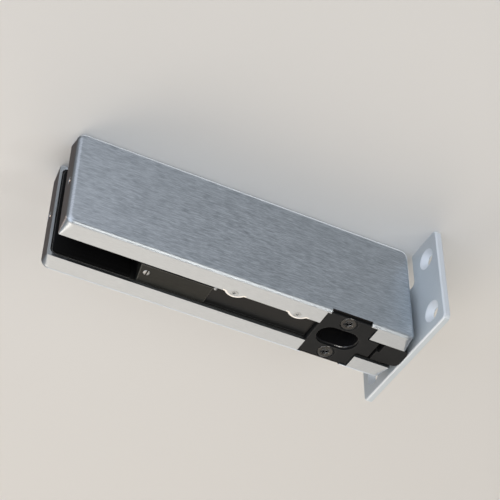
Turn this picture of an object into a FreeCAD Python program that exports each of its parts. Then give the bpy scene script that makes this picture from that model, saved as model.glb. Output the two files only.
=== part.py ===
import FreeCAD, Part
import math
import os
from types import SimpleNamespace

import Sketcher

# A corner patch fitting for frameless glass with an end plate. Two black cast jaws clamp the glass,
# two pressed covers hide them, and a socket block in the lower edge takes the spindle of the door.
# The origin is the centre of the socket on the lower plane. +X points at the end plate, +Y at the
# rear cover and +Z up, to the side where the glass comes in. All sizes are in millimetres.

DRIVING = {
    # outside of the fitting
    "total_width": 32.5,
    "cover_length": 166.0,
    "cover_height": 54.0,
    "cover_depth": 9.5,
    "cover_right": 31.2,
    "sheet": 1.2,
    "bend_radius": 2.2,
    "shoulder": 2.5,
    "face_corner": 4.0,
    "rim_corner": 0.8,
    "inner_corner": 3.0,
    # ears and small screws of the covers
    "ear_radius": 6.2,
    "ear_centre": -10.35,
    "ear_chord": -7.6,
    "ear_left": -54.3,
    "ear_right": -23.8,
    "ear_screw": -6.9,
    "ear_edge": 0.7,
    "small_head": 1.8,
    "small_shank": 1.0,
    "small_length": 9.0,
    "small_key": 0.7,
    "small_key_depth": 0.7,
    "end_screw_inset": 4.35,
    "end_screw_height": 27.0,
    "notch_half": 12.6,
    "notch_rise": 1.8,
    "notch_lip": 1.8,
    "bend_notch_left": -11.0,
    "bend_notch_right": 9.2,
    # jaws and glass slot
    "jaw_gap": 0.3,
    "jaw_corner": 2.5,
    "cast_edge": 1.0,
    "slot_edge": 0.5,
    "slot_half": 7.0,
    "gasket": 1.0,
    "cutout_left": -97.4,
    "cutout_top": 36.0,
    "boss_left": -62.8,
    "boss_right": -12.9,
    "boss_low": 3.0,
    "boss_high": 34.0,
    "boss_gap": 0.4,
    "lug_radius": 5.7,
    "lug_high": 12.0,
    "relief_depth": 4.0,
    "relief_corner": 3.0,
    "relief_left": -121.0,
    "relief_middle": -96.0,
    "relief_right": -68.0,
    "relief_rib": 4.0,
    "relief_low": 8.0,
    "relief_high": 46.0,
    "relief_top_low": 37.5,
    "relief_top_right": 20.0,
    # clamp bolts
    "bolt_left": -52.0,
    "bolt_middle": -24.0,
    "bolt_height": 20.0,
    "bolt_right": 11.0,
    "bolt_right_height": 27.0,
    "bolt_radius": 3.0,
    "bolt_hole": 3.3,
    "bolt_length": 24.0,
    "bolt_head": 5.0,
    "bolt_head_height": 4.0,
    "bolt_key": 2.31,
    "bolt_key_depth": 2.2,
    "washer_radius": 6.0,
    "washer_hole": 3.2,
    "washer": 1.2,
    "counterbore": 6.4,
    # packing between the jaws
    "packing_left": -96.8,
    "packing_skew": 2.2,
    "packing_low": 2.0,
    "packing_gap": 0.1,
    "rebate_width": 2.2,
    "rebate_rise": 2.4,
    "packing_screw_x": -92.4,
    "packing_screw_y": 0.4,
    "packing_head": 1.7,
    "packing_head_height": 1.3,
    "packing_shank": 1.0,
    "packing_shank_length": 8.0,
    "packing_slot": 0.5,
    "pin_x": -61.5,
    "pin_y": -2.8,
    "pin_radius": 1.1,
    "pin_proud": 0.5,
    "pin_depth": 6.0,
    "pad_half": 5.5,
    # socket block
    "block_half": 12.4,
    "block_depth_half": 14.3,
    "block_low": 0.7,
    "block_high": 18.0,
    "neck_half": 5.2,
    "neck_right": 18.7,
    "block_round": 1.0,
    "block_edge": 0.3,
    "socket_centres": 3.9,
    "socket_radius": 6.2,
    "liner_outer": 7.2,
    "liner_inner": 5.7,
    "liner_low": 1.9,
    "liner_floor": 16.0,
    "liner_lip": 0.7,
    "socket_screw_y": 10.7,
    "socket_rim": 4.3,
    "socket_head": 4.15,
    "socket_shank": 2.0,
    "socket_screw_length": 25.0,
    "socket_key": 1.45,
    "socket_key_depth": 1.6,
    # arm and end plate
    "arm_left": -9.0,
    "arm_step": 20.2,
    "arm_nick": 1.5,
    "arm_round": 3.0,
    "arm_low": 1.0,
    "arm_half": 5.8,
    "plate_left": 34.2,
    "plate": 3.0,
    "plate_half": 35.0,
    "plate_low": 0.7,
    "plate_high": 53.9,
    "plate_corner": 2.5,
    "plate_edge": 0.6,
    "plate_notch_half": 14.0,
    "plate_notch_low": 36.2,
    "plate_notch_round": 1.5,
    "plate_hole_y": 25.75,
    "plate_hole_low": 10.9,
    "plate_hole_high": 42.6,
    "plate_bore": 2.75,
    "plate_rim": 5.3,
    "arm_screw_low": 9.0,
    "arm_screw_high": 27.0,
    "arm_screw_head": 4.6,
    "arm_screw_shank": 2.0,
    "arm_screw_length": 14.0,
    "arm_screw_key": 1.45,
    "arm_screw_key_depth": 1.6,
}

COUNTERSINK_TAPER = -45.0
COUNTERSINK_ANGLE = 90.0
TOUCH = 1e-4

doc = FreeCAD.newDocument("patch_fitting")
sheet = doc.addObject("Spreadsheet::Sheet", "Dims")
for row, (alias, number) in enumerate(DRIVING.items(), start=1):
    sheet.set(f"A{row}", str(number))
    sheet.setAlias(f"A{row}", alias)
doc.recompute()


class Size:
    """A length that keeps its number and the sheet expression behind it."""

    def __init__(self, value, text):
        self.value = value
        self.text = text

    def __add__(self, other):
        return Size(self.value + other.value, f"({self.text} + {other.text})")

    def __sub__(self, other):
        return Size(self.value - other.value, f"({self.text} - {other.text})")

    def __mul__(self, factor):
        return Size(self.value * factor, f"({self.text} * {factor!r})")

    def __truediv__(self, factor):
        return Size(self.value / factor, f"({self.text} / {factor!r})")

    def __neg__(self):
        return Size(-self.value, f"(0 - {self.text})")


d = SimpleNamespace(**{alias: Size(number, f"Dims.{alias}") for alias, number in DRIVING.items()})
zero = Size(0.0, "0")

# Places worked out from the driving dimensions
face = d.total_width / 2
cover_left = d.cover_right - d.cover_length
cover_inner = face - d.sheet
jaw_left = cover_left + d.sheet + d.jaw_gap
jaw_right = d.cover_right - d.sheet - d.jaw_gap
jaw_low = d.sheet + d.jaw_gap
jaw_high = d.cover_height - d.sheet - d.jaw_gap
end_screw_y = face - d.end_screw_inset
washer_seat = cover_inner - d.bolt_head_height - d.washer
bolt_under_head = cover_inner - d.bolt_head_height
boss_bolts = [(d.bolt_left, d.bolt_height), (d.bolt_middle, d.bolt_height)]
all_bolts = boss_bolts + [(d.bolt_right, d.bolt_right_height)]
ears = [d.ear_left, d.ear_right]


# Sketches: each point and radius is held by the sheet

def new_body(name):
    """A body whose label names the sub-part."""
    body = doc.addObject("PartDesign::Body", name)
    body.Label = name
    return body


def along_normal(role):
    """The sign of a plane's normal along its own world axis."""
    return -1 if role == "XZ_Plane" else 1


def new_sketch(body, name, role, level):
    """An empty sketch on an origin plane of the body, moved to a level along the world axis."""
    plane = next(item for item in body.Origin.OriginFeatures if item.Role == role)
    sketch = body.newObject("Sketcher::SketchObject", f"{body.Name}_{name}")
    sketch.AttachmentSupport = [(plane, "")]
    sketch.MapMode = "FlatFace"
    offset = level * along_normal(role)
    sketch.setExpression("AttachmentOffset.Base.z", offset.text)
    return sketch


def hold(sketch, kind, places, size):
    """A driving constraint bound to the sheet."""
    index = sketch.addConstraint(Sketcher.Constraint(kind, *places, size.value))
    sketch.setExpression(f"Constraints[{index}]", size.text)


def hold_x(sketch, geometry, point, size):
    """Hold a point at a distance from the upright axis, or on it."""
    if size.value == 0:
        sketch.addConstraint(Sketcher.Constraint("PointOnObject", geometry, point, -2))
    else:
        hold(sketch, "DistanceX", (-1, 1, geometry, point), size)


def hold_y(sketch, geometry, point, size):
    """Hold a point at a distance from the level axis, or on it."""
    if size.value == 0:
        sketch.addConstraint(Sketcher.Constraint("PointOnObject", geometry, point, -1))
    else:
        hold(sketch, "DistanceY", (-1, 1, geometry, point), size)


def spot(x, y):
    """A point of a sketch from two sizes."""
    return FreeCAD.Vector(x.value, y.value, 0)


def arc(centre, radius, start, end):
    """An arc of a sketch between two angles in degrees."""
    round_line = Part.Circle(centre, FreeCAD.Vector(0, 0, 1), radius)
    return Part.ArcOfCircle(round_line, math.radians(start), math.radians(end))


def polygon(sketch, corners):
    """A closed outline of straight sides."""
    first = sketch.GeometryCount
    count = len(corners)
    for i in range(count):
        sketch.addGeometry(Part.LineSegment(spot(*corners[i]), spot(*corners[(i + 1) % count])))
    for i in range(count):
        following = first + (i + 1) % count
        sketch.addConstraint(Sketcher.Constraint("Coincident", first + i, 2, following, 1))
    for i, (x, y) in enumerate(corners):
        hold_x(sketch, first + i, 1, x)
        hold_y(sketch, first + i, 1, y)


def rectangle(sketch, left, right, low, high):
    """A rectangle between four lines."""
    polygon(sketch, [(left, low), (right, low), (right, high), (left, high)])


def rounded_rectangle(sketch, left, right, low, high, radius):
    """A rectangle with one arc at each corner."""
    first = sketch.GeometryCount
    near_left, near_right = left + radius, right - radius
    near_low, near_high = low + radius, high - radius
    sides = [
        (spot(near_left, low), spot(near_right, low)),
        (spot(right, near_low), spot(right, near_high)),
        (spot(near_right, high), spot(near_left, high)),
        (spot(left, near_high), spot(left, near_low)),
    ]
    centres = [
        spot(near_right, near_low),
        spot(near_right, near_high),
        spot(near_left, near_high),
        spot(near_left, near_low),
    ]
    for i in range(4):
        sketch.addGeometry(Part.LineSegment(*sides[i]))
        sketch.addGeometry(arc(centres[i], radius.value, 90 * i - 90, 90 * i))
    for i in range(4):
        side, corner = first + 2 * i, first + 2 * i + 1
        following = first + (2 * i + 2) % 8
        sketch.addConstraint(Sketcher.Constraint("Tangent", side, 2, corner, 1))
        sketch.addConstraint(Sketcher.Constraint("Tangent", corner, 2, following, 1))
        sketch.addConstraint(Sketcher.Constraint("Vertical" if i % 2 else "Horizontal", side))
        hold(sketch, "Radius", (corner,), radius)
    hold_y(sketch, first, 1, low)
    hold_x(sketch, first + 2, 1, right)
    hold_y(sketch, first + 4, 1, high)
    hold_x(sketch, first + 6, 1, left)


def obround(sketch, half_gap, radius):
    """Two half circles joined by straight sides, about the middle of the sketch."""
    lower = (spot(-half_gap, -radius), spot(half_gap, -radius))
    upper = (spot(half_gap, radius), spot(-half_gap, radius))
    sketch.addGeometry(Part.LineSegment(*lower))
    sketch.addGeometry(arc(spot(half_gap, zero), radius.value, -90, 90))
    sketch.addGeometry(Part.LineSegment(*upper))
    sketch.addGeometry(arc(spot(-half_gap, zero), radius.value, 90, 270))
    for i in range(4):
        sketch.addConstraint(Sketcher.Constraint("Tangent", i, 2, (i + 1) % 4, 1))
    for end, centre in ((1, half_gap), (3, -half_gap)):
        hold_x(sketch, end, 3, centre)
        hold_y(sketch, end, 3, zero)
    sketch.addConstraint(Sketcher.Constraint("Equal", 1, 3))
    hold(sketch, "Radius", (1,), radius)


def circles(sketch, places, radius):
    """A circle of one radius at each place."""
    for x, y in places:
        index = sketch.addGeometry(Part.Circle(spot(x, y), FreeCAD.Vector(0, 0, 1), radius.value))
        hold_x(sketch, index, 3, x)
        hold_y(sketch, index, 3, y)
        hold(sketch, "Radius", (index,), radius)


def hexagons(sketch, places, radius):
    """A regular hexagon, its corners at one radius, at each place."""
    for x, y in places:
        angles = [math.radians(60 * i) for i in range(6)]
        polygon(sketch, [(x + radius * math.cos(a), y + radius * math.sin(a)) for a in angles])


def round_ends(sketch, middles, centre, radius, chord):
    """The part of each circle that lies above its chord."""
    for middle in middles:
        rise = math.degrees(math.asin((chord.value - centre.value) / radius.value))
        reach = radius.value * math.cos(math.radians(rise))
        bow = sketch.addGeometry(arc(spot(middle, centre), radius.value, rise, 180 - rise))
        ends = [FreeCAD.Vector(middle.value + side * reach, chord.value, 0) for side in (-1, 1)]
        string = sketch.addGeometry(Part.LineSegment(*ends))
        sketch.addConstraint(Sketcher.Constraint("Coincident", bow, 2, string, 1))
        sketch.addConstraint(Sketcher.Constraint("Coincident", string, 2, bow, 1))
        sketch.addConstraint(Sketcher.Constraint("Horizontal", string))
        hold_x(sketch, bow, 3, middle)
        hold_y(sketch, bow, 3, centre)
        hold(sketch, "Radius", (bow,), radius)
        hold_y(sketch, string, 1, chord)


# Features: towards is +1 or -1 along the world axis that the sketch faces

def faces_along(sketch, towards):
    """True where a direction agrees with the normal of the sketch."""
    return towards == along_normal(sketch.AttachmentSupport[0][0].Role)


def pad(body, sketch, length, towards, taper=0.0):
    """Grow a profile into a solid."""
    feature = body.newObject("PartDesign::Pad", f"{sketch.Name}_pad")
    feature.Profile = sketch
    feature.setExpression("Length", length.text)
    feature.TaperAngle = taper
    feature.Reversed = not faces_along(sketch, towards)
    doc.recompute()
    return feature


def loft(body, first, second):
    """Join two profiles by straight lines into a solid."""
    feature = body.newObject("PartDesign::AdditiveLoft", f"{first.Name}_loft")
    feature.Profile = first
    feature.Sections = [(second, [""])]
    feature.Ruled = True
    doc.recompute()
    return feature


def pocket(body, sketch, length, towards):
    """Cut a profile out of the solid, and see that it took something away."""
    before = body.Shape.Volume
    feature = body.newObject("PartDesign::Pocket", f"{sketch.Name}_cut")
    feature.Profile = sketch
    feature.setExpression("Length", length.text)
    feature.Reversed = faces_along(sketch, towards)
    doc.recompute()
    if body.Shape.Volume >= before:
        raise ValueError(f"{feature.Name} cut nothing")
    return feature


def drill(body, sketch, bore, towards, depth=None, rim=None):
    """Drill the circles of a sketch, right through or to a depth, with or without a countersink."""
    before = body.Shape.Volume
    doc.recompute()
    feature = body.newObject("PartDesign::Hole", f"{sketch.Name}_holes")
    feature.Profile = sketch
    doc.recompute()
    feature.setExpression("Diameter", (bore * 2).text)
    feature.DrillPoint = "Flat"
    feature.DepthType = "Dimension" if depth else "ThroughAll"
    if depth:
        feature.setExpression("Depth", depth.text)
    if rim:
        feature.HoleCutType = "Countersink"
        feature.setExpression("HoleCutDiameter", (rim * 2).text)
        feature.HoleCutCountersinkAngle = COUNTERSINK_ANGLE
    feature.Reversed = faces_along(sketch, towards)
    doc.recompute()
    if body.Shape.Volume >= before:
        raise ValueError(f"{feature.Name} drilled nothing")
    return feature


def on_plane(axis, level):
    """A test for edges that lie in one plane across an axis."""
    def test(edge):
        box = edge.BoundBox
        low, high = getattr(box, f"{axis}Min"), getattr(box, f"{axis}Max")
        return abs(low - level.value) < TOUCH and abs(high - level.value) < TOUCH
    return test


def upright(axis, *places):
    """A test for edges that run along an axis through one of the given places."""
    across = [name for name in "XYZ" if name != axis]

    def test(edge):
        box = edge.BoundBox
        spread = [getattr(box, f"{name}Max") - getattr(box, f"{name}Min") for name in across]
        if max(spread) > TOUCH:
            return False
        middle = [getattr(box.Center, name.lower()) for name in across]
        return any(
            abs(middle[0] - first.value) < TOUCH and abs(middle[1] - second.value) < TOUCH
            for first, second in places
        )
    return test


def dress(body, kind, name, test):
    """A fillet or chamfer on the edges that a test picks from the last feature."""
    base = body.Tip
    picked = [f"Edge{i}" for i, edge in enumerate(base.Shape.Edges, start=1) if test(edge)]
    if not picked:
        raise ValueError(f"no edge to dress for {name}")
    feature = body.newObject(f"PartDesign::{kind}", f"{body.Name}_{name}")
    feature.Base = (base, picked)
    return feature


def fillet(body, name, radius, test):
    """Round the picked edges."""
    feature = dress(body, "Fillet", name, test)
    feature.setExpression("Radius", radius.text)
    doc.recompute()
    return feature


def chamfer(body, name, size, test):
    """Bevel the picked edges."""
    feature = dress(body, "Chamfer", name, test)
    feature.setExpression("Size", size.text)
    doc.recompute()
    return feature


def between(side, first, second):
    """Two levels on one side of the middle plane, lower one first."""
    return (-second, -first) if side < 0 else (first, second)


def cover(name, side):
    """A pan of one sheet with a face and four walls, ground corners and a notch for the block."""
    body = new_body(name)
    outlines = {}
    for part, level, corner in (
        ("face", face, d.face_corner),
        ("shoulder", face - d.shoulder, d.face_corner),
        ("rim", face - d.cover_depth, d.rim_corner),
    ):
        outlines[part] = new_sketch(body, part, "XZ_Plane", level * side)
        rounded_rectangle(outlines[part], cover_left, d.cover_right, zero, d.cover_height, corner)
    pad(body, outlines["face"], d.cover_depth, -side)
    fillet(body, "bend", d.bend_radius, on_plane("Y", face * side))
    # the corners are round at the face and fill out to sharper ones at the rim
    loft(body, outlines["shoulder"], outlines["rim"])
    inside = new_sketch(body, "inside", "XZ_Plane", cover_inner * side)
    inner_right, inner_high = d.cover_right - d.sheet, d.cover_height - d.sheet
    rounded_rectangle(inside, cover_left + d.sheet, inner_right, d.sheet, inner_high, d.inner_corner)
    pocket(body, inside, d.cover_depth, -side)
    notch = new_sketch(body, "notch", "XY_Plane", zero)
    low, high = between(side, face - d.cover_depth - d.sheet, face - d.notch_lip)
    rectangle(notch, -d.notch_half, d.notch_half, low, high)
    pocket(body, notch, d.notch_rise, 1)
    bend_notch = new_sketch(body, "bend_notch", "XY_Plane", zero)
    low, high = between(side, face - d.notch_lip * 2, face + d.sheet)
    rectangle(bend_notch, d.bend_notch_left, d.bend_notch_right, low, high)
    pocket(body, bend_notch, d.notch_rise, 1)
    end_hole = new_sketch(body, "end_hole", "YZ_Plane", cover_left)
    circles(end_hole, [(end_screw_y * side, d.end_screw_height)], d.small_shank)
    drill(body, end_hole, d.small_shank, 1, d.sheet * 2, d.small_head)
    return body


# Front cover: the pan with two round ears on its lower wall, each with a round lower edge and a small
# countersunk hole.

front_cover = cover("front_cover", -1)
ear_shape = new_sketch(front_cover, "ears", "XY_Plane", zero)
round_ends(ear_shape, ears, d.ear_centre, d.ear_radius, d.ear_chord)
pad(front_cover, ear_shape, d.sheet, 1)


def ear_rim(edge):
    """The lower edge of an ear, along its arc."""
    radius = getattr(edge.Curve, "Radius", 0.0)
    return on_plane("Z", zero)(edge) and abs(radius - d.ear_radius.value) < TOUCH


fillet(front_cover, "ear_edge", d.ear_edge, ear_rim)
ear_holes = new_sketch(front_cover, "ear_holes", "XY_Plane", zero)
circles(ear_holes, [(x, d.ear_screw) for x in ears], d.small_shank)
drill(front_cover, ear_holes, d.small_shank, 1, d.sheet * 2, d.small_head)

# Rear cover: the plain pan.

rear_cover = cover("rear_cover", 1)


def jaw(name, side):
    """A cast clamp half: a thick plate, hollowed behind its cover, with a bay for the socket block."""
    body = new_body(name)
    outline = new_sketch(body, "outline", "XZ_Plane", cover_inner * side)
    rounded_rectangle(outline, jaw_left, jaw_right, jaw_low, jaw_high, d.jaw_corner)
    pad(body, outline, cover_inner - d.slot_half, -side)
    chamfer(body, "outer_edge", d.cast_edge, on_plane("Y", cover_inner * side))
    chamfer(body, "slot_edge", d.slot_edge, on_plane("Y", d.slot_half * side))
    relief = new_sketch(body, "relief", "XZ_Plane", cover_inner * side)
    fields = [
        (d.relief_left, d.relief_middle - d.relief_rib, d.relief_low, d.relief_high),
        (d.relief_middle, d.relief_right - d.relief_rib, d.relief_low, d.relief_high),
        (d.relief_right, d.relief_top_right, d.relief_top_low, d.relief_high),
    ]
    for left, right, low, high in fields:
        rounded_rectangle(relief, left, right, low, high, d.relief_corner)
    pocket(body, relief, d.relief_depth, -side)
    seat = new_sketch(body, "arm_seat", "XZ_Plane", d.slot_half * side)
    rectangle(seat, d.arm_left, jaw_right - d.slot_edge, d.block_high, d.boss_high)
    pad(body, seat, d.slot_half - d.arm_half, -side)
    bay = new_sketch(body, "block_bay", "XY_Plane", zero)
    low, high = between(side, d.arm_half - d.sheet, face)
    rectangle(bay, -d.notch_half, d.notch_half, low, high)
    pocket(body, bay, d.block_high, 1)
    thread = new_sketch(body, "block_thread", "XY_Plane", d.block_high)
    circles(thread, [(zero, d.socket_screw_y * side)], d.socket_shank)
    drill(body, thread, d.socket_shank, 1, d.socket_screw_length - d.block_high + d.sheet)
    end_thread = new_sketch(body, "end_thread", "YZ_Plane", jaw_left)
    circles(end_thread, [(end_screw_y * side, d.end_screw_height)], d.small_shank)
    drill(body, end_thread, d.small_shank, 1, d.small_length)
    return body


# Front jaw: lugs under the ears of the cover, and counterbored holes for the clamp bolts.

front_jaw = jaw("front_jaw", -1)
lugs = new_sketch(front_jaw, "lugs", "XY_Plane", d.sheet)
round_ends(lugs, ears, d.ear_centre, d.lug_radius, d.ear_chord)
pad(front_jaw, lugs, d.lug_high - d.sheet, 1)
lug_threads = new_sketch(front_jaw, "lug_threads", "XY_Plane", d.sheet)
circles(lug_threads, [(x, d.ear_screw) for x in ears], d.small_shank)
drill(front_jaw, lug_threads, d.small_shank, 1, d.small_length - d.sheet)
head_wells = new_sketch(front_jaw, "head_wells", "XZ_Plane", -cover_inner)
circles(head_wells, all_bolts, d.counterbore)
pocket(front_jaw, head_wells, d.bolt_head_height + d.washer, 1)
bolt_holes = new_sketch(front_jaw, "bolt_holes", "XZ_Plane", -cover_inner)
circles(bolt_holes, all_bolts, d.bolt_hole)
drill(front_jaw, bolt_holes, d.bolt_hole, 1)

# Rear jaw: the boss that fills the cut-out of the glass, with hollows that clear the front lugs,
# and the threaded holes of the clamp bolts.

rear_jaw = jaw("rear_jaw", 1)
boss = new_sketch(rear_jaw, "boss", "XZ_Plane", d.slot_half)
rectangle(boss, d.boss_left, d.boss_right, d.boss_low, d.boss_high)
pad(rear_jaw, boss, d.slot_half * 2 - d.boss_gap, -1)
lug_hollows = new_sketch(rear_jaw, "lug_hollows", "XY_Plane", d.boss_low)
round_ends(lug_hollows, ears, d.ear_centre, d.ear_radius, d.ear_chord)
pocket(rear_jaw, lug_hollows, d.lug_high + d.boss_gap - d.boss_low, 1)
pin_hole = new_sketch(rear_jaw, "pin_hole", "XY_Plane", d.boss_low)
circles(pin_hole, [(d.pin_x, d.pin_y)], d.pin_radius)
drill(rear_jaw, pin_hole, d.pin_radius, 1, d.pin_depth)
bolt_threads = new_sketch(rear_jaw, "bolt_threads", "XZ_Plane", cover_inner)
circles(bolt_threads, all_bolts, d.bolt_radius)
drill(rear_jaw, bolt_threads, d.bolt_radius, -1)


def glass_gasket(name, side):
    """A soft strip on the clamping face of a jaw, cut away round the boss."""
    body = new_body(name)
    outline = new_sketch(body, "outline", "XZ_Plane", d.slot_half * side)
    right = jaw_right - d.gasket
    low, high = jaw_low + d.gasket, jaw_high - d.gasket
    left = jaw_left + d.gasket
    polygon(outline, [
        (left, low), (d.cutout_left, low), (d.cutout_left, d.cutout_top),
        (right, d.cutout_top), (right, high), (left, high),
    ])
    pad(body, outline, d.gasket, -side)
    corners = [(x, z) for x in (left, right) for z in (low, high)]
    fillet(body, "corners", d.jaw_corner - d.gasket, upright("Y", *corners))
    return body


# Gaskets: one on each jaw, so that the glass never meets metal.

front_gasket = glass_gasket("front_gasket", -1)
rear_gasket = glass_gasket("rear_gasket", 1)

# Packing block: fills the rest of the cut-out beside the boss. Its free end is cut at a slant and a
# rebate runs along its front edge.

packing_block = new_body("packing_block")
packing_plan = new_sketch(packing_block, "plan", "XY_Plane", d.packing_low)
packing_front = d.packing_gap - d.slot_half
packing_right = d.boss_left - d.packing_gap
packing_rear_left = d.packing_left + d.packing_skew
polygon(packing_plan, [
    (d.packing_left, packing_front), (packing_right, packing_front),
    (packing_right, d.slot_half), (packing_rear_left, d.slot_half),
])
pad(packing_block, packing_plan, d.boss_high - d.packing_low, 1)
rebate = new_sketch(packing_block, "rebate", "XY_Plane", d.packing_low)
rebate_rear = packing_front + d.rebate_width
rectangle(rebate, d.packing_left - d.gasket, d.boss_left, -d.slot_half - d.gasket, rebate_rear)
pocket(packing_block, rebate, d.rebate_rise, 1)
packing_place = [(d.packing_screw_x, d.packing_screw_y)]
screw_well = new_sketch(packing_block, "screw_well", "XY_Plane", d.packing_low)
circles(screw_well, packing_place, d.packing_head)
pocket(packing_block, screw_well, d.packing_head_height, 1)
screw_thread = new_sketch(packing_block, "screw_thread", "XY_Plane", d.packing_low)
circles(screw_thread, packing_place, d.packing_shank)
drill(packing_block, screw_thread, d.packing_shank, 1, d.packing_shank_length)

# Packing screw: a small slotted cheese head, sunk level with the packing block.

packing_screw = new_body("packing_screw")
cheese_head = new_sketch(packing_screw, "head", "XY_Plane", d.packing_low)
circles(cheese_head, packing_place, d.packing_head)
pad(packing_screw, cheese_head, d.packing_head_height, 1)
cheese_shank = new_sketch(packing_screw, "shank", "XY_Plane", d.packing_low)
circles(cheese_shank, packing_place, d.packing_shank)
pad(packing_screw, cheese_shank, d.packing_shank_length, 1)
driver_slot = new_sketch(packing_screw, "slot", "XY_Plane", d.packing_low)
rectangle(
    driver_slot,
    d.packing_screw_x - d.packing_slot / 2, d.packing_screw_x + d.packing_slot / 2,
    d.packing_screw_y - d.packing_head * 2, d.packing_screw_y + d.packing_head * 2,
)
pocket(packing_screw, driver_slot, d.packing_head_height / 2, 1)

# Packing pin: a bright pin with a bevelled end in the corner of the boss, standing slightly proud.

packing_pin = new_body("packing_pin")
pin_shape = new_sketch(packing_pin, "shape", "XY_Plane", d.boss_low - d.pin_proud)
circles(pin_shape, [(d.pin_x, d.pin_y)], d.pin_radius)
pad(packing_pin, pin_shape, d.pin_depth + d.pin_proud, 1)
chamfer(packing_pin, "end", d.pin_proud, on_plane("Z", d.boss_low - d.pin_proud))

# Glass edge pad: a soft bed on the boss and the packing block for the edge of the glass.

glass_edge_pad = new_body("glass_edge_pad")
bed = new_sketch(glass_edge_pad, "bed", "XY_Plane", d.boss_high)
rectangle(bed, packing_rear_left, d.boss_right, -d.pad_half, d.pad_half)
pad(glass_edge_pad, bed, d.cutout_top - d.boss_high, 1)

# Socket block: a steel block just inside the lower plane, with an obround socket, a neck towards the
# arm and two countersunk holes. The socket is wider above its mouth, to hold the liner.

socket_block = new_body("socket_block")
plan = new_sketch(socket_block, "plan", "XY_Plane", d.block_low)
polygon(plan, [
    (-d.block_half, -d.block_depth_half), (d.block_half, -d.block_depth_half),
    (d.block_half, -d.neck_half), (d.neck_right, -d.neck_half),
    (d.neck_right, d.neck_half), (d.block_half, d.neck_half),
    (d.block_half, d.block_depth_half), (-d.block_half, d.block_depth_half),
])
pad(socket_block, plan, d.block_high - d.block_low, 1)
roots = [(d.block_half, -d.neck_half), (d.block_half, d.neck_half)]
fillet(socket_block, "neck_root", d.block_round, upright("Z", *roots))
chamfer(socket_block, "lower_edge", d.block_edge, on_plane("Z", d.block_low))
mouth = new_sketch(socket_block, "mouth", "XY_Plane", d.block_low)
obround(mouth, d.socket_centres, d.socket_radius)
pocket(socket_block, mouth, d.block_high, 1)
liner_bay = new_sketch(socket_block, "liner_bay", "XY_Plane", d.block_high)
obround(liner_bay, d.socket_centres, d.liner_outer)
pocket(socket_block, liner_bay, d.block_high - d.liner_low, -1)
socket_screw_places = [(zero, -d.socket_screw_y), (zero, d.socket_screw_y)]
block_holes = new_sketch(socket_block, "screw_holes", "XY_Plane", d.block_low)
circles(block_holes, socket_screw_places, d.socket_shank)
drill(socket_block, block_holes, d.socket_shank, 1, rim=d.socket_rim)

# Socket liner: a moulded cup with a bevelled lip, held in the block by the shoulder of its mouth.

socket_liner = new_body("socket_liner")
cup = new_sketch(socket_liner, "cup", "XY_Plane", d.liner_low)
obround(cup, d.socket_centres, d.liner_outer)
pad(socket_liner, cup, d.block_high - d.liner_low, 1)
hollow = new_sketch(socket_liner, "hollow", "XY_Plane", d.liner_low)
obround(hollow, d.socket_centres, d.liner_inner)
pocket(socket_liner, hollow, d.liner_floor - d.liner_low, 1)


def lip_edge(edge):
    """The inner edge of the liner at its mouth."""
    reach = max(abs(edge.BoundBox.YMin), abs(edge.BoundBox.YMax))
    return on_plane("Z", d.liner_low)(edge) and reach < d.liner_outer.value - TOUCH


chamfer(socket_liner, "lip", d.liner_lip, lip_edge)


def countersunk_screws(name, role, level, towards, places, sizes):
    """A group of like screws, each with a cone head, a plain shank and a hexagon recess."""
    head, shank, length, key, key_depth = sizes
    body = new_body(name)
    heads = new_sketch(body, "heads", role, level)
    circles(heads, places, head)
    pad(body, heads, head - shank, towards, COUNTERSINK_TAPER)
    shanks = new_sketch(body, "shanks", role, level)
    circles(shanks, places, shank)
    pad(body, shanks, length, towards)
    keys = new_sketch(body, "keys", role, level)
    hexagons(keys, places, key)
    pocket(body, keys, key_depth, towards)
    return body


# Countersunk screws of the block, the arm, the ears and the end walls of the covers.

socket_sizes = (
    d.socket_head, d.socket_shank, d.socket_screw_length, d.socket_key, d.socket_key_depth,
)
socket_level = d.block_low + d.socket_rim - d.socket_head
socket_screws = countersunk_screws(
    "socket_screws", "XY_Plane", socket_level, 1, socket_screw_places, socket_sizes,
)
plate_right = d.plate_left + d.plate
arm_screw_places = [(zero, d.arm_screw_low), (zero, d.arm_screw_high)]
arm_screw_sizes = (
    d.arm_screw_head, d.arm_screw_shank, d.arm_screw_length, d.arm_screw_key, d.arm_screw_key_depth,
)
arm_screws = countersunk_screws(
    "arm_screws", "YZ_Plane", plate_right, -1, arm_screw_places, arm_screw_sizes,
)
small_sizes = (d.small_head, d.small_shank, d.small_length, d.small_key, d.small_key_depth)
ear_screws = countersunk_screws(
    "ear_screws", "XY_Plane", zero, 1, [(x, d.ear_screw) for x in ears], small_sizes,
)
end_screw_places = [(end_screw_y * side, d.end_screw_height) for side in (-1, 1)]
cover_end_screws = countersunk_screws(
    "cover_end_screws", "YZ_Plane", cover_left, 1, end_screw_places, small_sizes,
)

# Clamp bolts: low heads in the wells of the front jaw, threaded into the rear jaw.

clamp_bolts = new_body("clamp_bolts")
bolt_heads = new_sketch(clamp_bolts, "heads", "XZ_Plane", -cover_inner)
circles(bolt_heads, all_bolts, d.bolt_head)
pad(clamp_bolts, bolt_heads, d.bolt_head_height, 1)
bolt_shanks = new_sketch(clamp_bolts, "shanks", "XZ_Plane", -bolt_under_head)
circles(bolt_shanks, all_bolts, d.bolt_radius)
pad(clamp_bolts, bolt_shanks, d.bolt_length, 1)
bolt_keys = new_sketch(clamp_bolts, "keys", "XZ_Plane", -cover_inner)
hexagons(bolt_keys, all_bolts, d.bolt_key)
pocket(clamp_bolts, bolt_keys, d.bolt_key_depth, 1)

# Clamp washers: one ring under each bolt head.

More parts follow.
